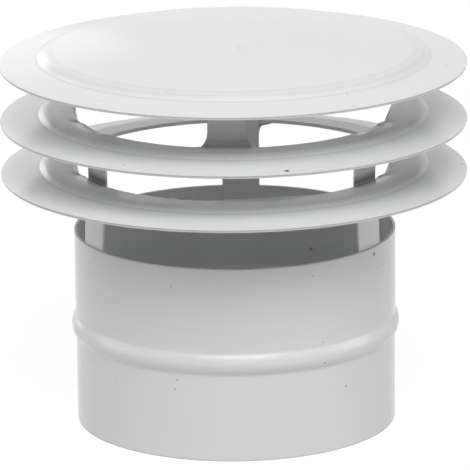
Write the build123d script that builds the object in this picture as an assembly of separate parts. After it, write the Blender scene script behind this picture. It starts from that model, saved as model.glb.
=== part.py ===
from build123d import *
import math
import os

# Chimney cowl in lacquered sheet: collar, two louvre rings on bent legs, domed rain cap.
# Millimetres, +Z up. The origin is at the centre of the collar's lower edge.

# Sheet
sheet = 0.8
bend_radius = 1.0
weld_gap = 0.03

# Collar
collar_diameter = 110.0
collar_height = 67.0
spigot_draw = 0.2
bead_height = 1.3
bead_middle = 33.9
bead_crest_radius = 5.3
bead_foot_radius = 1.8

# Stack, from one lower edge to the next
collar_to_lower_ring = 19.5
lower_to_upper_ring = 18.3
upper_ring_to_cap = 19.7

# Pressed brim and step, shared by both rings and the cap
disc_diameter = 159.0
brim_width = 13.0
brim_rise = 2.2
step_width = 2.2
step_foot_radius = 1.0
step_crest_radius = 7.0
ring_step_rise = 1.2
cap_step_rise = 1.8

# Rings
hole_diameter = 108.8

# Cap
dome_edge_slope = 10.5
dome_flank = 4.5

# Legs, which are tabs of the rings' flanges
leg_count = 3
leg_width = 13.0
leg_turn = -2.5
root_length = 1.5
flare_width = 4.4
flare_height = 6.0
flare_tip = 0.02
leg_in_collar = 13.0
leg_lead_in = 2.0
leg_overlap = 12.0
knee_radius = 6.0
foot_length = 8.0

# Working values
collar_radius = collar_diameter / 2
spigot_radius = collar_radius - spigot_draw
disc_radius = disc_diameter / 2
brim_inner = disc_radius - brim_width
step_inner = brim_inner - step_width
hole_radius = hole_diameter / 2
leg_outer = hole_radius - bend_radius
leg_inner = leg_outer - sheet
flange_rise = sheet + brim_rise + ring_step_rise
lower_ring_z = collar_height + collar_to_lower_ring
upper_ring_z = lower_ring_z + lower_to_upper_ring
cap_z = upper_ring_z + upper_ring_to_cap
leg_pitch = 360 / leg_count
step_radii = [step_foot_radius, step_crest_radius]


def wire(*curves):
    return Wire([edge for curve in curves for edge in curve.edges()])


def revolved(path, arc=360.0):
    """Sheet that lies on the left of the path, turned about Z and centred on +X."""
    section = Plane.XZ * make_face(path.offset_2d(sheet, side=Side.LEFT).edges())
    return revolve(section.rotate(Axis.Z, -arc / 2), Axis.Z, arc)


def brim_points(z, step_rise):
    """Upper face of a brim and its step, from the rim inwards."""
    foot_z = z + sheet + brim_rise
    return [(disc_radius, z + sheet), (brim_inner, foot_z), (step_inner, foot_z + step_rise)]


def dome_start():
    """Point of the cap's upper face where the step's flank runs into the dome's arc."""
    step_z = brim_points(cap_z, cap_step_rise)[-1][1]
    return Vector(step_inner - dome_flank, step_z + dome_flank * math.tan(math.radians(dome_edge_slope)))


def dome_radius():
    return dome_start().X / math.sin(math.radians(dome_edge_slope))


def dome_underside(radius):
    """Height of the dome's lower face at a distance from the axis."""
    start = dome_start()
    middle_z = start.Y - dome_radius() * math.cos(math.radians(dome_edge_slope))
    return middle_z + math.sqrt((dome_radius() - sheet) ** 2 - radius ** 2)


def bead_half(rise):
    """Turn and length of half the bead, from its crest to a wall that lies the rise below it."""
    between_centres = bead_crest_radius + bead_foot_radius
    turn = math.acos(1 - rise / between_centres)
    return math.degrees(turn), between_centres * math.sin(turn)


def make_collar():
    """Tube with a bead of three tangent arcs. Below the bead it is drawn in to slide into the flue."""
    low_turn, low_length = bead_half(bead_height + spigot_draw)
    high_turn = bead_half(bead_height)[0]
    below = Line((spigot_radius, 0), (spigot_radius, bead_middle - low_length))
    foot = JernArc(below @ 1, below % 1, bead_foot_radius, -low_turn)
    crest = JernArc(foot @ 1, foot % 1, bead_crest_radius, low_turn + high_turn)
    head = JernArc(crest @ 1, crest % 1, bead_foot_radius, -high_turn)
    above = Line(head @ 1, (collar_radius, collar_height))
    return revolved(wire(below, foot, crest, head, above))


def make_cap():
    start = dome_start()
    tangent = Vector(-1, 0).rotate(Axis.Z, -dome_edge_slope)
    brim = FilletPolyline(*brim_points(cap_z, cap_step_rise), start, radius=step_radii)
    dome = JernArc(start, tangent, dome_radius(), dome_edge_slope)
    return revolved(wire(brim, dome))


def make_leg(points, radii, turn):
    """Strip of the flange, bent along the points, with round flares at its root."""
    root_z, end_z = points[0][1], points[-1][1]
    side = math.copysign(1, end_z - root_z)
    tip_z = root_z - flare_tip if side < 0 else root_z - sheet + flare_tip
    flare_half = leg_width / 2 + flare_width
    outline = Pos(0, tip_z) * Rectangle(2 * flare_half, 2 * flare_height)
    for across in (-flare_half, flare_half):
        outline -= Pos(across, tip_z + side * flare_height) * Ellipse(flare_width, flare_height)
    outline += Pos(0, cap_z) * Rectangle(leg_width, 2 * cap_z)
    prism = extrude(Plane.YZ * outline, disc_radius)
    strip = revolved(FilletPolyline(*points, radius=radii), leg_pitch) & prism
    return strip.rotate(Axis.Z, turn - 90)


def make_ring(z, legs):
    """Pressed ring with groups of legs, each group as (points, radii, turn of its first leg)."""
    points = brim_points(z, ring_step_rise)
    ring = revolved(FilletPolyline(*points, (hole_radius, points[-1][1]), radius=step_radii))
    for leg_points, radii, turn in legs:
        for number in range(leg_count):
            ring += make_leg(leg_points, radii, turn + number * leg_pitch)
    return ring


def leg_root(ring_z):
    """Points of a flange's upper face over the root of a leg, with the corner of its bend."""
    flange_z = ring_z + flange_rise
    return (hole_radius + root_length, flange_z), (leg_inner, flange_z)


def lower_legs():
    """Legs of the lower ring: down and slightly out, then along the collar's wall."""
    start, bend = leg_root(lower_ring_z)
    seat = collar_radius - 2 * sheet - weld_gap
    points = [start, bend, (seat, collar_height + leg_lead_in), (seat, collar_height - leg_in_collar)]
    return points, [bend_radius + sheet, knee_radius]


def middle_legs():
    """Legs from the upper ring down to the inner face of the lower ring's legs."""
    start, bend = leg_root(upper_ring_z)
    top, foot = (Vector(*point) for point in lower_legs()[0][1:3])
    along = (foot - top).normalized()
    knee = top + along.rotate(Axis.Z, -90) * (sheet + weld_gap)
    end = knee + along * leg_overlap
    return [start, bend, (knee.X, knee.Y), (end.X, end.Y)], [bend_radius + sheet, knee_radius]


def upper_legs():
    """Legs from the upper ring up to feet that lie under the cap's dome."""
    flange_z = upper_ring_z + flange_rise
    start = leg_root(upper_ring_z)[0]
    toe = leg_outer - foot_length
    heel_z, toe_z = (dome_underside(radius) - weld_gap for radius in (leg_outer, toe))
    points = [start, (leg_outer, flange_z), (leg_outer, heel_z), (toe, toe_z)]
    return points, [bend_radius, bend_radius + sheet]


def make_lower_ring():
    return make_ring(lower_ring_z, [(*lower_legs(), leg_turn + leg_pitch / 2)])


def make_upper_ring():
    down = (*middle_legs(), leg_turn + leg_pitch / 2)
    up = (*upper_legs(), leg_turn)
    return make_ring(upper_ring_z, [down, up])


if __name__ == "__main__":
    os.makedirs("parts", exist_ok=True)
    pieces = {
        "collar": make_collar(),
        "lower_ring": make_lower_ring(),
        "upper_ring": make_upper_ring(),
        "cap": make_cap(),
    }
    for name, piece in pieces.items():
        export_step(piece, f"parts/{name}.step")
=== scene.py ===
import math

import bpy
from mathutils import Matrix, Vector


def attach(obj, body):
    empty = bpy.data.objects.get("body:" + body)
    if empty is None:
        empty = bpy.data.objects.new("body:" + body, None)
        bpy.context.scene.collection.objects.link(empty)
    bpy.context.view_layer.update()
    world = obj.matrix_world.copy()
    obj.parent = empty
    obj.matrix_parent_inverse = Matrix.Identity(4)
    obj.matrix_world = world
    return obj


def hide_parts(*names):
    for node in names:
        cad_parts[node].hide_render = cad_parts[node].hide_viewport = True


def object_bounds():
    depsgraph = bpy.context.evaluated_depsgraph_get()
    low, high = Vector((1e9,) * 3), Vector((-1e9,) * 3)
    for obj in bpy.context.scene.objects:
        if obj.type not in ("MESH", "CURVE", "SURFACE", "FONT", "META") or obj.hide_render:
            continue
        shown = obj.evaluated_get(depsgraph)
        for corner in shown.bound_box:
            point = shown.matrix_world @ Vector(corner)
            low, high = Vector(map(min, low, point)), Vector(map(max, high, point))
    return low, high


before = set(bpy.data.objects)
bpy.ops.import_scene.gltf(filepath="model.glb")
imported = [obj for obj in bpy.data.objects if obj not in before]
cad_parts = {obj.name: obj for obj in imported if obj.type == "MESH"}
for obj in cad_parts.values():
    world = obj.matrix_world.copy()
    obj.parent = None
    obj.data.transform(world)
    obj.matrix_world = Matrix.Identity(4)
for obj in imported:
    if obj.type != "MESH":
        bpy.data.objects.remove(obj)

cad_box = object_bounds()
scene = bpy.context.scene

# Lengths are in metres. Angles round the axis are in degrees from the front, positive to the right.
BLACK = (0.0, 0.0, 0.0, 1.0)
WHITE = (1.0, 1.0, 1.0, 1.0)

# Camera, fitted to the photograph's 470 x 470 frame, with its angles in radians
PHOTO_SIZE = 470
FOCAL_PX = 5133.36
CAMERA_DISTANCE = 1.7603
CAMERA_ELEVATION = 0.27133
CAMERA_ROLL = 0.010
CAMERA_AIM = Vector((0.00006, 0.0, 0.06375))
SENSOR_WIDTH = 36.0

# Stage
FLOOR_SIZE = 12.0
FLOOR_GREY = 0.6
FLOOR_GLOW = 0.92
FLOOR_SHADOW_GREY = 0.14

# Light. A lamp is a soft box with its name, azimuth, elevation, distance, width, height and radiance.
WORLD_LEVEL = 0.02
WHITE_LEVEL = 1.0
LAMPS = (
    ("front_top", 0, 50, 1.6, 1.3, 0.85, 4.2),
    ("front_right_top", 30, 50, 1.6, 0.8, 0.55, 3.0),
    ("high_front", 0, 70, 1.6, 0.8, 0.55, 1.55),
    ("left_top", -75, 50, 1.6, 1.4, 0.55, 0.45),
    ("left_back", -120, 28, 1.6, 0.8, 0.55, 2.7),
    ("back_left_low", -150, 10, 1.6, 0.8, 0.7, 1.3),
    ("right_low", 90, 14, 1.6, 0.8, 0.8, 2.2),
    ("front_low", 0, 8, 1.6, 0.8, 0.55, 0.65),
    ("left_low", -90, 8, 1.6, 0.8, 0.55, 1.7),
    ("back_card", -166.5, 13, 1.6, 0.42, 0.56, 0.45),
    ("top", 0, 89, 1.6, 0.8, 0.8, 0.7),
)

# Rings: the CAD rings' own sizes, but for the step's crest, which is rounded less than in the CAD
SHEET = 0.0008
DISC_RADIUS = 0.0795
BRIM_WIDTH = 0.013
BRIM_RISE = 0.0022
STEP_WIDTH = 0.0022
STEP_RISE = 0.0012
STEP_FOOT_RADIUS = 0.001
STEP_CREST_RADIUS = 0.0045
FLANGE_RISE = SHEET + BRIM_RISE + STEP_RISE
HOLE_RADIUS = 0.0544
LOWER_RING_Z = 0.0865
UPPER_RING_Z = 0.1048

# Legs, with the CAD legs' sizes
DOWN = -1
UP = 1
LEG_COUNT = 3
LEG_TURN = -2.5
LEG_HALF = 0.0065
BEND_RADIUS = 0.001
FLARE_WIDTH = 0.0044
FLARE_LENGTH = 0.006
KNEE_RADIUS = 0.006
SEAT_RADIUS = 0.05337
SEAT_TOP_Z = 0.069
SEAT_END_Z = 0.054
WELD_GAP = 0.00003
LEG_OVERLAP = 0.012
UP_LEG_HEEL_Z = 0.13041
UP_LEG_TOE_Z = 0.13163
FOOT_LENGTH = 0.008

# Bend at a leg's root: where it lands below the flange, and how far it holds to the slopes at its ends
ROOT_LANDING = 0.0022
ROOT_REACH = 0.55

# What the press and the bending left, which the CAD rings leave out.
# The flange is drawn down at the roots of the legs that go down, and its lip along the rest of the hole.
DIP_DEPTH = 0.0009
DIP_LENGTH = 0.006
DIP_FULL_HALF = 0.0085
DIP_END_HALF = 0.0112
LIP_WIDTH = 0.0011
LIP_DROP = 0.0004

# The lower ring's lip is crumpled and lifted at the front. The waves are counts for a whole turn.
CRUMPLE_ANGLE = -20.0
CRUMPLE_SPREAD = 15.0
CRUMPLE_WAVES = (41.0, 67.0)
CRUMPLE_DEPTH = 0.0006
CRUMPLE_WIDTH = 0.0032
LIFT_ANGLE = 10.0
LIFT_SPREAD = 24.0
LIFT_HEIGHT = 0.0009
LIFT_WIDTH = 0.0012

# The hole's edge runs straight in two places, as an angle and half a spread, and curls down at the left.
CHORDS = ((-85.3, 11.3), (82.3, 13.2))
CURL_WIDTH = 0.0018
CURL_ANGLE = -85.0
CURL_SPREAD = 14.0
CURL_DEPTH = 0.0012
FADE_STEEPNESS = 1.6

# Fineness of the rings' meshes
COLUMN_STEP = 1.0
BRIM_PARTS = 5
CORNER_PARTS = 6
BEND_PARTS = 12
FLANGE_ROWS = 20
LEG_COLUMNS = 24
ROOT_ROWS = 10
LEG_ROW = 0.0022
SHARP_ANGLE = 50.0

# Lacquer
LACQUER_LOW = (0.815, 0.825, 0.825, 1.0)
LACQUER_HIGH = (0.855, 0.86, 0.858, 1.0)
LACQUER_ROUGHNESS = 0.2
TINT_SCALE = 30.0
TINT_DETAIL = 4.0
GRAIN_SCALE = 1600.0
GRAIN_SHARE = 0.05
PEEL_SCALE = 420.0
PEEL_DEPTH = 0.00001
WAVE_SCALE = 28.0
WAVE_DEPTH = 0.0001
STREAK_ROUND = 3.0
STREAK_ACROSS = 700.0
STREAK_DETAIL = 3.0
STREAK_SHARE = 0.05

# Painted shade in bands round the axis, in the step's foot, on its face, at its crest and on the rim's
# cut edge, as a radius, a half width and a share of shade
# Colour of the press streaks, and of the painted shade
STREAK_AND_SHADE_COLOUR = (0.22, 0.22, 0.215, 1.0)
PAINTED_SHADE_BANDS = (
    (0.0669, 0.0011, 0.17),
    (0.0648, 0.0018, 0.15),
    (0.0622, 0.0018, 0.10),
    (0.0795, 0.00015, 0.60),
)

# Painted shade at the collar's upper edge, as a height, a half height and a share, outside a radius
RIM_SHADE = (0.0670, 0.0004, 0.5)
RIM_SHADE_RADIUS = 0.0542

# Painted shade at the collar's foot, where it meets the floor
FOOT_SHADE_HEIGHT = 0.0006
FOOT_SHADE_SHARE = 0.45

# Painted shade on the legs' outer faces, where they pass the flanges and under the rings, as a height, a
# half height and a share of shade. The middle of the upper ring's legs has this radius above the flange
# and leans inwards by the slope below it.
LEG_MIDDLE_RADIUS = 0.0530
LEG_MIDDLE_SLOPE = 0.0454
LEG_OUTER_LIMIT = 0.0541
LEG_SHADE_TOP = 0.1300
LEG_SHADE = (
    (0.0908, 0.0032, 0.97),
    (0.1098, 0.0034, 0.55),
    (0.1130, 0.0300, 0.48),
)

# Painted shade on the rings' inner edges and on the flange before a leg's root, as an angle, half its
# spread, the distance of a chord within which it lies, the width of its fade, the lowest height and a
# share of shade
EDGE_SHADE_TOP = 0.1145
EDGE_SHADE_TOP_FADE = 0.004
EDGE_SHADE_STEEPNESS = 2.5
EDGE_SHADE = (
    (-84.0, 13.0, 0.0550, 0.0006, 0.085, 0.95),
    (82.3, 15.0, 0.0537, 0.0003, 0.085, 0.90),
    (-2.5, 13.0, 0.0575, 0.0032, 0.100, 0.55),
)

# Widths over which painted shade fades at a face, beyond the legs and at a height
FACE_FADE = 0.0001
BEYOND_FADE = 0.0002
HEIGHT_FADE = 0.0005

# Dark specks in the lacquer, as photo pixels with a radius. Smaller ones are fainter.
DIRT_COLOUR = (0.05, 0.045, 0.04, 1.0)
FULL_SPECK = 0.0007
SPECK_EDGE = 1.3
SPECKS = (
    (76, 41, 0.00035), (130, 35, 0.0004), (219, 37, 0.0003), (240, 48, 0.0005), (347, 94, 0.0004),
    (98, 101, 0.00035), (166, 92, 0.0003), (447, 65, 0.0004), (287, 171, 0.0009), (124, 165, 0.0004),
    (226, 160, 0.0003), (34, 191, 0.0003), (91, 216, 0.00035), (462, 164, 0.0006), (311, 249, 0.0006),
    (171, 287, 0.0003), (177, 380, 0.0004), (175, 389, 0.0004), (117, 381, 0.0003), (325, 363, 0.0004),
    (346, 386, 0.0004), (323, 342, 0.0003), (374, 254, 0.0007), (313, 276, 0.0003), (262, 45, 0.0003),
    (377, 261, 0.0003), (378, 267, 0.00035), (89, 262, 0.0003), (173, 110, 0.0003), (177, 109, 0.0003),
)


def new_material(name):
    material = bpy.data.materials.new(name)
    material.use_nodes = True
    material.node_tree.nodes.clear()
    return material, material.node_tree


def math_node(tree, operation, first, second, clamp=False):
    """Math node on two values, each a socket or a number."""
    node = tree.nodes.new("ShaderNodeMath")
    node.operation = operation
    node.use_clamp = clamp
    for place, value in enumerate((first, second)):
        if isinstance(value, (int, float)):
            node.inputs[place].default_value = value
        else:
            tree.links.new(value, node.inputs[place])
    return node.outputs[0]


def product(tree, first, *others):
    for other in others:
        first = math_node(tree, "MULTIPLY", first, other)
    return first


def largest(tree, first, *others):
    for other in others:
        first = math_node(tree, "MAXIMUM", first, other)
    return first


def mixed_shader(tree, factor, first, second):
    node = tree.nodes.new("ShaderNodeMixShader")
    for place, socket in enumerate((factor, first, second)):
        tree.links.new(socket, node.inputs[place])
    return node.outputs[0]


def seen_directly(tree):
    """1 for camera, glossy and transmission rays, 0 for the light that the object gets."""
    rays = tree.nodes.new("ShaderNodeLightPath").outputs
    total = math_node(tree, "ADD", rays["Is Camera Ray"], rays["Is Glossy Ray"], clamp=True)
    return math_node(tree, "ADD", total, rays["Is Transmission Ray"], clamp=True)


def add_camera():
    back = Vector((0.0, -math.cos(CAMERA_ELEVATION), math.sin(CAMERA_ELEVATION)))
    right = Vector((1.0, 0.0, 0.0))
    turn = Matrix((right, back.cross(right), back)).transposed() @ Matrix.Rotation(-CAMERA_ROLL, 3, "Z")
    data = bpy.data.cameras.new("camera")
    data.sensor_width = SENSOR_WIDTH
    data.lens = FOCAL_PX * SENSOR_WIDTH / PHOTO_SIZE
    camera = bpy.data.objects.new("camera", data)
    camera.matrix_world = Matrix.Translation(CAMERA_AIM + back * CAMERA_DISTANCE) @ turn.to_4x4()
    scene.collection.objects.link(camera)
    scene.camera = camera


def background(tree, level):
    node = tree.nodes.new("ShaderNodeBackground")
    node.inputs["Color"].default_value = WHITE
    node.inputs["Strength"].default_value = level
    return node.outputs[0]


def add_world():
    """White where it is seen, and nearly dark for the light that the object gets."""
    world = bpy.data.worlds.new("studio")
    scene.world = world
    world.use_nodes = True
    tree = world.node_tree
    tree.nodes.clear()
    dark, white = background(tree, WORLD_LEVEL), background(tree, WHITE_LEVEL)
    output = tree.nodes.new("ShaderNodeOutputWorld")
    tree.links.new(mixed_shader(tree, seen_directly(tree), dark, white), output.inputs["Surface"])


def add_area(name, azimuth, elevation, distance, width, height, level):
    """Soft box aimed at the object. Azimuth 0 is in front, 90 on the right. Level is its radiance."""
    a, e = math.radians(azimuth), math.radians(elevation)
    toward = Vector((math.sin(a) * math.cos(e), -math.cos(a) * math.cos(e), math.sin(e)))
    data = bpy.data.lights.new(name, "AREA")
    data.shape = "RECTANGLE"
    data.size, data.size_y = width, height
    data.energy = level * math.pi * width * height
    lamp = bpy.data.objects.new(name, data)
    lamp.location = CAMERA_AIM + toward * distance
    lamp.rotation_euler = toward.to_track_quat("Z", "Y").to_euler()
    lamp.visible_camera = False
    scene.collection.objects.link(lamp)


def diffuse(tree, grey):
    node = tree.nodes.new("ShaderNodeBsdfDiffuse")
    node.inputs["Color"].default_value = (grey, grey, grey, 1.0)
    return node.outputs[0]


def floor_material():
    """Nearly white with a faint shadow where it is seen, and grey for the light that the object gets."""
    material, tree = new_material("floor")
    glow = tree.nodes.new("ShaderNodeEmission")
    glow.inputs["Strength"].default_value = FLOOR_GLOW * WHITE_LEVEL
    white = tree.nodes.new("ShaderNodeAddShader")
    tree.links.new(diffuse(tree, FLOOR_SHADOW_GREY), white.inputs[0])
    tree.links.new(glow.outputs[0], white.inputs[1])
    surface = mixed_shader(tree, seen_directly(tree), diffuse(tree, FLOOR_GREY), white.outputs[0])
    output = tree.nodes.new("ShaderNodeOutputMaterial")
    tree.links.new(surface, output.inputs["Surface"])
    return material


def add_floor():
    half = FLOOR_SIZE / 2
    mesh = bpy.data.meshes.new("floor")
    corners = [(-half, -half, 0), (half, -half, 0), (half, half, 0), (-half, half, 0)]
    mesh.from_pydata(corners, [], [(0, 1, 2, 3)])
    floor = bpy.data.objects.new("floor", mesh)
    floor.location.z = cad_box[0].z
    scene.collection.objects.link(floor)
    mesh.materials.append(floor_material())


def noise(tree, place, scale, detail=2.0):
    node = tree.nodes.new("ShaderNodeTexNoise")
    node.inputs["Scale"].default_value = scale
    node.inputs["Detail"].default_value = detail
    tree.links.new(place, node.inputs["Vector"])
    return node.outputs["Fac"]


def mixed(tree, factor, first, second, blend="MIX"):
    """Colour mix, where the factor is a socket or a number and each colour a socket or four numbers."""
    node = tree.nodes.new("ShaderNodeMix")
    node.data_type = "RGBA"
    node.blend_type = blend
    if isinstance(factor, (int, float)):
        node.inputs["Factor"].default_value = factor
    else:
        tree.links.new(factor, node.inputs["Factor"])
    for name, value in (("A", first), ("B", second)):
        socket = next(s for s in node.inputs if s.name == name and s.type == "RGBA")
        if isinstance(value, tuple):
            socket.default_value = value
        else:
            tree.links.new(value, socket)
    return next(s for s in node.outputs if s.type == "RGBA")


def bump(tree, height, depth):
    node = tree.nodes.new("ShaderNodeBump")
    node.inputs["Strength"].default_value = 1.0
    node.inputs["Distance"].default_value = depth
    tree.links.new(height, node.inputs["Height"])
    return node


def surface_point(pixel_x, pixel_y):
    """Point of the CAD part that the photograph shows at a pixel, or None."""
    camera = scene.camera
    depsgraph = bpy.context.evaluated_depsgraph_get()
    across = (pixel_x - PHOTO_SIZE / 2) / FOCAL_PX
    down = (pixel_y - PHOTO_SIZE / 2) / FOCAL_PX
    direction = (camera.matrix_world.to_3x3() @ Vector((across, -down, -1.0))).normalized()
    start = camera.matrix_world.translation
    hits = [node.ray_cast(start, direction, depsgraph=depsgraph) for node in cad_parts.values()]
    points = [place for hit, place, _, _ in hits if hit]
    return min(points, key=lambda place: (place - start).length, default=None)


def speck_mask(tree, place):
    """1 on the specks and 0 elsewhere, with soft edges."""
    total = 0.0
    for pixel_x, pixel_y, radius in SPECKS:
        point = surface_point(pixel_x, pixel_y)
        if point is None:
            continue
        gap = tree.nodes.new("ShaderNodeVectorMath")
        gap.operation = "DISTANCE"
        gap.inputs[1].default_value = point
        tree.links.new(place, gap.inputs[0])
        share = math_node(tree, "DIVIDE", gap.outputs["Value"], radius)
        inside = math_node(tree, "SUBTRACT", SPECK_EDGE, share, clamp=True)
        total = largest(tree, product(tree, inside, min(1.0, radius / FULL_SPECK)), total)
    return total


def axis_values(tree, place):
    """Distance from the axis, angle round it in radians and height."""
    parts = tree.nodes.new("ShaderNodeSeparateXYZ")
    tree.links.new(place, parts.inputs[0])
    x, y, height = parts.outputs
    square = math_node(tree, "ADD", product(tree, x, x), product(tree, y, y))
    radius = math_node(tree, "POWER", square, 0.5)
    return radius, math_node(tree, "ARCTAN2", x, product(tree, y, -1.0)), height


def band(tree, value, middle, half, share):
    """The share at the middle of a band, falling to 0 at its edges."""
    gap = math_node(tree, "SUBTRACT", value, middle)
    gap = math_node(tree, "ABSOLUTE", gap, 0.0)
    gap = math_node(tree, "DIVIDE", gap, half)
    inside = math_node(tree, "SUBTRACT", 1.0, gap, clamp=True)
    return product(tree, inside, share)


def ramp(tree, high, low, width):
    """0 where the high value is below the low one, 1 where it is more than the width above it."""
    gap = math_node(tree, "SUBTRACT", high, low)
    return math_node(tree, "DIVIDE", gap, width, clamp=True)


def leg_outer_face(tree, radius, height):
    """1 between the middle of the upper ring's legs and the limit beyond them, and 0 elsewhere."""
    below = math_node(tree, "SUBTRACT", UPPER_RING_Z + FLANGE_RISE, height)
    lean = product(tree, largest(tree, below, 0.0), LEG_MIDDLE_SLOPE)
    middle = math_node(tree, "SUBTRACT", LEG_MIDDLE_RADIUS, lean)
    outside = ramp(tree, radius, middle, FACE_FADE)
    inside = ramp(tree, LEG_OUTER_LIMIT, radius, BEYOND_FADE)
    under_cap = ramp(tree, LEG_SHADE_TOP, height, HEIGHT_FADE)
    return product(tree, outside, inside, under_cap)


def edge_shade(tree, axis, middle, half, limit, fade, lowest, share):
    """Share of painted shade on a ring's inner edge, within a spread of angles, a chord and two heights.
    """
    radius, angle, height = axis
    near = band(tree, angle, math.radians(middle), math.radians(half), EDGE_SHADE_STEEPNESS)
    near = math_node(tree, "MINIMUM", near, 1.0)
    turn = math_node(tree, "SUBTRACT", angle, math.radians(middle))
    across = product(tree, radius, math_node(tree, "COSINE", turn, 0.0))
    within = ramp(tree, limit, across, fade)
    above = ramp(tree, height, lowest, HEIGHT_FADE)
    below = ramp(tree, EDGE_SHADE_TOP, height, EDGE_SHADE_TOP_FADE)
    return product(tree, near, within, above, below, share)


def painted_shade_mask(tree, place):
    """Share of painted shade: in the pressed creases, on the cut edges, on the legs, on the rings' inner
    edges and at the collar's foot.
    """
    axis = axis_values(tree, place)
    radius, _, height = axis
    low = math_node(tree, "DIVIDE", height, FOOT_SHADE_HEIGHT)
    low = math_node(tree, "SUBTRACT", 1.0, low, clamp=True)
    rim = ramp(tree, radius, RIM_SHADE_RADIUS, FACE_FADE)
    outer = leg_outer_face(tree, radius, height)
    shares = [product(tree, low, FOOT_SHADE_SHARE)]
    shares += [band(tree, radius, *row) for row in PAINTED_SHADE_BANDS]
    shares.append(product(tree, band(tree, height, *RIM_SHADE), rim))
    shares += [product(tree, outer, band(tree, height, *row)) for row in LEG_SHADE]
    shares += [edge_shade(tree, axis, *row) for row in EDGE_SHADE]
    return largest(tree, *shares)


def streaks(tree, place):
    """Noise drawn out round the axis, as a press leaves it."""
    radius, angle, height = axis_values(tree, place)
    joined = tree.nodes.new("ShaderNodeCombineXYZ")
    tree.links.new(product(tree, radius, STREAK_ACROSS), joined.inputs[0])
    tree.links.new(product(tree, angle, STREAK_ROUND), joined.inputs[1])
    tree.links.new(product(tree, height, STREAK_ACROSS), joined.inputs[2])
    return noise(tree, joined.outputs[0], scale=1.0, detail=STREAK_DETAIL)


def lacquer():
    """White lacquer with grain, press streaks, painted shade, dirt specks, a fine peel and a slight
    wave.
    """
    material, tree = new_material("white_lacquer")
    place = tree.nodes.new("ShaderNodeTexCoord").outputs["Object"]
    tint = mixed(tree, noise(tree, place, TINT_SCALE, TINT_DETAIL), LACQUER_LOW, LACQUER_HIGH)
    grain = mixed(tree, noise(tree, place, GRAIN_SCALE), BLACK, WHITE)
    colour = mixed(tree, GRAIN_SHARE, tint, grain, "OVERLAY")
    colour = mixed(tree, product(tree, streaks(tree, place), STREAK_SHARE), colour, STREAK_AND_SHADE_COLOUR)
    # Painted shade in the creases, on the cut edges, on the legs, at the rings' inner edges and at the
    # collar's foot
    colour = mixed(tree, painted_shade_mask(tree, place), colour, STREAK_AND_SHADE_COLOUR)
    colour = mixed(tree, speck_mask(tree, place), colour, DIRT_COLOUR)
    wave = bump(tree, noise(tree, place, WAVE_SCALE, detail=0.0), WAVE_DEPTH)
    peel = bump(tree, noise(tree, place, PEEL_SCALE), PEEL_DEPTH)
    shader = tree.nodes.new("ShaderNodeBsdfPrincipled")
    shader.inputs["Roughness"].default_value = LACQUER_ROUGHNESS
    output = tree.nodes.new("ShaderNodeOutputMaterial")
    tree.links.new(colour, shader.inputs["Base Color"])
    tree.links.new(wave.outputs["Normal"], peel.inputs["Normal"])
    tree.links.new(peel.outputs["Normal"], shader.inputs["Normal"])
    tree.links.new(shader.outputs[0], output.inputs["Surface"])
    return material


def rounded_path(points, radii):
    """Points along a path in (radius, height) whose inner corners are rounded by the radii."""
    path = [Vector(points[0])]
    for place, radius in enumerate(radii, 1):
        before, corner, after = (Vector(points[place + shift]) for shift in (-1, 0, 1))
        back, ahead = (before - corner).normalized(), (after - corner).normalized()
        half_angle = back.angle(ahead) / 2
        start = corner + back * radius / math.tan(half_angle)
        end = corner + ahead * radius / math.tan(half_angle)
        middle = corner + (back + ahead).normalized() * radius / math.sin(half_angle)
        for part in range(CORNER_PARTS + 1):
            spoke = (start - middle).lerp(end - middle, part / CORNER_PARTS)
            path.append(middle + spoke.normalized() * radius)
    path.append(Vector(points[-1]))
    return path


def along(path, distance):
    """Point of a path at a distance from its start."""
    for first, second in zip(path, path[1:]):
        length = (second - first).length
        if distance <= length:
            return first.lerp(second, distance / length)
        distance -= length
    return path[-1].copy()


def path_length(path):
    return sum((second - first).length for first, second in zip(path, path[1:]))


def smooth(value):
    """0 to 1 with soft ends."""
    value = min(1.0, max(0.0, value))
    return value * value * (3 - 2 * value)


def down_bend_corner(ring_z):
    """Corner of the bend from a flange into the inner face of a leg that goes down."""
    return Vector((HOLE_RADIUS - BEND_RADIUS - SHEET, ring_z + FLANGE_RISE))


def lower_leg_points():
    """Inner face of the lower legs, from the bend's corner down into the collar."""
    seat_top, seat_end = Vector((SEAT_RADIUS, SEAT_TOP_Z)), Vector((SEAT_RADIUS, SEAT_END_Z))
    return [down_bend_corner(LOWER_RING_Z), seat_top, seat_end]


def middle_leg_points():
    """Inner face of the middle legs, which end inside the lower legs."""
    top, foot = lower_leg_points()[:2]
    run = (foot - top).normalized()
    inward = Vector((run.y, -run.x))
    knee = top + inward * (SHEET + WELD_GAP)
    return [down_bend_corner(UPPER_RING_Z), knee, knee + run * LEG_OVERLAP]


def upper_leg_points():
    """Outer face of the upper legs, with feet under the cap."""
    radius = HOLE_RADIUS - BEND_RADIUS
    corner = Vector((radius, UPPER_RING_Z + FLANGE_RISE))
    heel, toe = Vector((radius, UP_LEG_HEEL_Z)), Vector((radius - FOOT_LENGTH, UP_LEG_TOE_Z))
    return [corner, heel, toe]


def root_bend(edge, slope, landing, side):
    """Points of the curve from the flange's edge, along its slope, to the landing on the leg's side."""
    reach = (landing - edge).length * ROOT_REACH
    first, second = edge + slope * reach, landing - side * reach
    bend = []
    for part in range(BEND_PARTS):
        t = part / BEND_PARTS
        start_pull = edge * (1 - t) ** 3 + first * 3 * t * (1 - t) ** 2
        bend.append(start_pull + second * 3 * t * t * (1 - t) + landing * t ** 3)
    return bend


def row_distances(length):
    """Distances of a leg's rows from the flange's edge, closer together in the flare."""
    quarter = math.pi / 2 / ROOT_ROWS
    flared = [FLARE_LENGTH * (1 - math.cos(quarter * row)) for row in range(1, ROOT_ROWS + 1)]
    straight = length - FLARE_LENGTH
    count = max(1, round(straight / LEG_ROW))
    return flared + [FLARE_LENGTH + straight * row / count for row in range(1, count + 1)]


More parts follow.
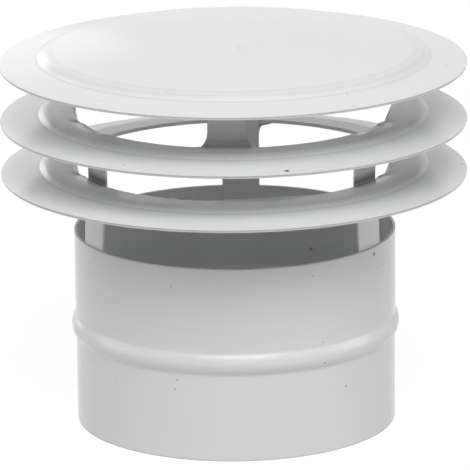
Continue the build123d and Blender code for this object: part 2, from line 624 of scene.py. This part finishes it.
def leg_rows(edge, slope, points, knee_radius):
    """(radius, height, half width) of a leg's rows, from the flange's edge to its end."""
    corner, knee, end = points
    side = (knee - corner).normalized()
    landing = corner + side * ROOT_LANDING
    path = root_bend(edge, slope, landing, side) + rounded_path([landing, knee, end], [knee_radius])
    rows = []
    for distance in row_distances(path_length(path)):
        flare = 1 - min(1.0, distance / FLARE_LENGTH)
        half = LEG_HALF + FLARE_WIDTH * (1 - math.sqrt(1 - flare ** 2))
        point = along(path, distance)
        rows.append((point.x, point.y, half))
    return rows


def ring_profile(ring_z):
    """Upper face of a ring from its rim to its hole, as (radius, height)."""
    foot_radius = DISC_RADIUS - BRIM_WIDTH
    flange_z = ring_z + FLANGE_RISE
    corners = [
        (DISC_RADIUS, ring_z + SHEET),
        (foot_radius, ring_z + SHEET + BRIM_RISE),
        (foot_radius - STEP_WIDTH, flange_z),
        (HOLE_RADIUS + DIP_LENGTH, flange_z),
    ]
    path = rounded_path(corners, [STEP_FOOT_RADIUS, STEP_CREST_RADIUS])
    brim = [path[0].lerp(path[1], part / BRIM_PARTS) for part in range(BRIM_PARTS)]
    steps = [1 - row / FLANGE_ROWS for row in range(1, FLANGE_ROWS + 1)]
    flange = [Vector((HOLE_RADIUS + DIP_LENGTH * step, flange_z)) for step in steps]
    return brim + path[1:] + flange


def ring_columns(legs):
    """Angles of a ring's columns, with the leg and the place across it where a column has a leg."""
    half = math.degrees((LEG_HALF + FLARE_WIDTH) / HOLE_RADIUS)
    order = sorted(legs, key=lambda leg: leg[0])
    columns = []
    for place, leg in enumerate(order):
        for number in range(LEG_COLUMNS + 1):
            across = 2 * number / LEG_COLUMNS - 1
            columns.append((leg[0] + across * half, leg, across))
        following = order[(place + 1) % len(order)]
        start = leg[0] + half
        gap = (following[0] - leg[0]) % 360 - 2 * half
        count = round(gap / COLUMN_STEP)
        columns += [(start + gap * number / count, None, 0.0) for number in range(1, count)]
    return columns


def turn_between(angle, middle):
    """Turn from the middle to an angle, from -180 to 180 degrees."""
    return (angle - middle + 180) % 360 - 180


def near_angle(angle, middle, spread):
    """1 about the middle, falling to 0 at the spread on either side."""
    return smooth(FADE_STEEPNESS * (1 - abs(turn_between(angle, middle)) / spread))


def near_hole(radius, width):
    """1 at the hole's edge, falling to 0 at a distance from it."""
    return max(0.0, 1 - (radius - HOLE_RADIUS) / width) ** 2


def crumpled_drop(angle, radius):
    """How far the crumpled lip lies below a plain one."""
    turn = turn_between(angle, CRUMPLE_ANGLE)
    depth = CRUMPLE_DEPTH * smooth(1 - abs(turn) / CRUMPLE_SPREAD) * near_hole(radius, CRUMPLE_WIDTH)
    waves = [math.sin(math.radians(turn) * wave) for wave in CRUMPLE_WAVES]
    lift = LIFT_HEIGHT * near_angle(angle, LIFT_ANGLE, LIFT_SPREAD) * near_hole(radius, LIFT_WIDTH)
    return depth * sum(waves) / len(waves) - lift


def edge_drop(angle, radius, legs, crumpled):
    """How far the flange lies below its plane: dips at the roots of the legs, a lip and a curl."""
    drop = LIP_DROP * near_hole(radius, LIP_WIDTH)
    for leg_angle, side, _ in legs:
        aside = abs(math.radians(turn_between(angle, leg_angle))) * HOLE_RADIUS
        share = smooth((DIP_END_HALF - aside) / (DIP_END_HALF - DIP_FULL_HALF))
        dip = DIP_DEPTH * near_hole(radius, DIP_LENGTH) if side == DOWN else 0.0
        drop = drop * (1 - share) + dip * share
    drop += CURL_DEPTH * near_angle(angle, CURL_ANGLE, CURL_SPREAD) * near_hole(radius, CURL_WIDTH)
    if crumpled:
        drop += crumpled_drop(angle, radius)
    return drop


def chord_shift(angle):
    """How far inside the round hole its edge lies, where it runs straight beside the root of a leg."""
    for middle, half in CHORDS:
        turn = turn_between(angle, middle)
        if abs(turn) < half:
            return HOLE_RADIUS * (1 - math.cos(math.radians(half)) / math.cos(math.radians(turn)))
    return 0.0


def round_axis(radius, turn, height):
    """Point at a distance from the axis, a turn from the front in radians and a height."""
    return radius * math.sin(turn), -radius * math.cos(turn), height


def flange_points(angle, profile, legs, crumpled):
    """Points of a ring's column from its rim to its hole."""
    points = []
    for place in profile:
        height = place.y - edge_drop(angle, place.x, legs, crumpled)
        inner = max(0.0, 1 - (place.x - HOLE_RADIUS) / DIP_LENGTH)
        radius = place.x - chord_shift(angle) * inner
        points.append(round_axis(radius, math.radians(angle), height))
    return points


def leg_points(leg, across, edge_z):
    """Points of a ring's column where it goes on along a leg, from the hole's edge at its height."""
    leg_angle, side, path = leg
    slope = Vector((-DIP_LENGTH / 2, -DIP_DEPTH if side == DOWN else 0.0)).normalized()
    knee_radius = KNEE_RADIUS if side == DOWN else BEND_RADIUS + SHEET
    points = []
    for radius, height, half in leg_rows(Vector((HOLE_RADIUS, edge_z)), slope, path, knee_radius):
        points.append(round_axis(radius, math.radians(leg_angle) + across * half / radius, height))
    return points


def ring_mesh(name, ring_z, legs, crumpled):
    """Upper face of a ring, and of its legs as columns that go on, in a grid of columns and rows."""
    profile = ring_profile(ring_z)
    columns = ring_columns(legs)
    vertices, faces, grid = [], [], []
    for angle, leg, across in columns:
        points = flange_points(angle, profile, legs, crumpled)
        if leg is not None:
            points += leg_points(leg, across, points[-1][2])
        grid.append(range(len(vertices), len(vertices) + len(points)))
        vertices += points
    for place, column in enumerate(grid):
        following = (place + 1) % len(grid)
        other = grid[following]
        same_leg = columns[place][1] is columns[following][1]
        shared = min(len(column), len(other)) if same_leg else len(profile)
        for row in range(shared - 1):
            faces.append((column[row], other[row], other[row + 1], column[row + 1]))
    mesh = bpy.data.meshes.new(name)
    mesh.from_pydata(vertices, [], faces)
    return mesh


def add_ring(name, node_name, ring_z, legs, crumpled):
    """Ring and its legs as one folded sheet. A leg is (angle, DOWN or UP, points)."""
    ring = bpy.data.objects.new(name, ring_mesh(name, ring_z, legs, crumpled))
    scene.collection.objects.link(ring)
    thick = ring.modifiers.new("sheet", "SOLIDIFY")
    thick.thickness = SHEET
    thick.offset = -1.0
    depsgraph = bpy.context.evaluated_depsgraph_get()
    solid = bpy.data.meshes.new_from_object(ring.evaluated_get(depsgraph))
    ring.modifiers.clear()
    ring.data = solid
    solid.polygons.foreach_set("use_smooth", [True] * len(solid.polygons))
    solid.set_sharp_from_angle(angle=math.radians(SHARP_ANGLE))
    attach(ring, "root")
    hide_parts(node_name)
    return ring


def leg_angles(first):
    return [first + number * 360 / LEG_COUNT for number in range(LEG_COUNT)]


def add_rings():
    between = leg_angles(LEG_TURN + 180 / LEG_COUNT)
    lower = [(angle, DOWN, lower_leg_points()) for angle in between]
    middle = [(angle, DOWN, middle_leg_points()) for angle in between]
    upper = [(angle, UP, upper_leg_points()) for angle in leg_angles(LEG_TURN)]
    return [
        add_ring("lower_ring_sheet", "lower_ring", LOWER_RING_Z, lower, True),
        add_ring("upper_ring_sheet", "upper_ring", UPPER_RING_Z, middle + upper, False),
    ]


def dress(piece, material):
    piece.data.materials.clear()
    piece.data.materials.append(material)


scene.view_settings.view_transform = "Standard"
add_camera()
add_world()
for lamp in LAMPS:
    add_area(*lamp)
add_floor()
coat = lacquer()
for piece in list(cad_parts.values()) + add_rings():
    dress(piece, coat)
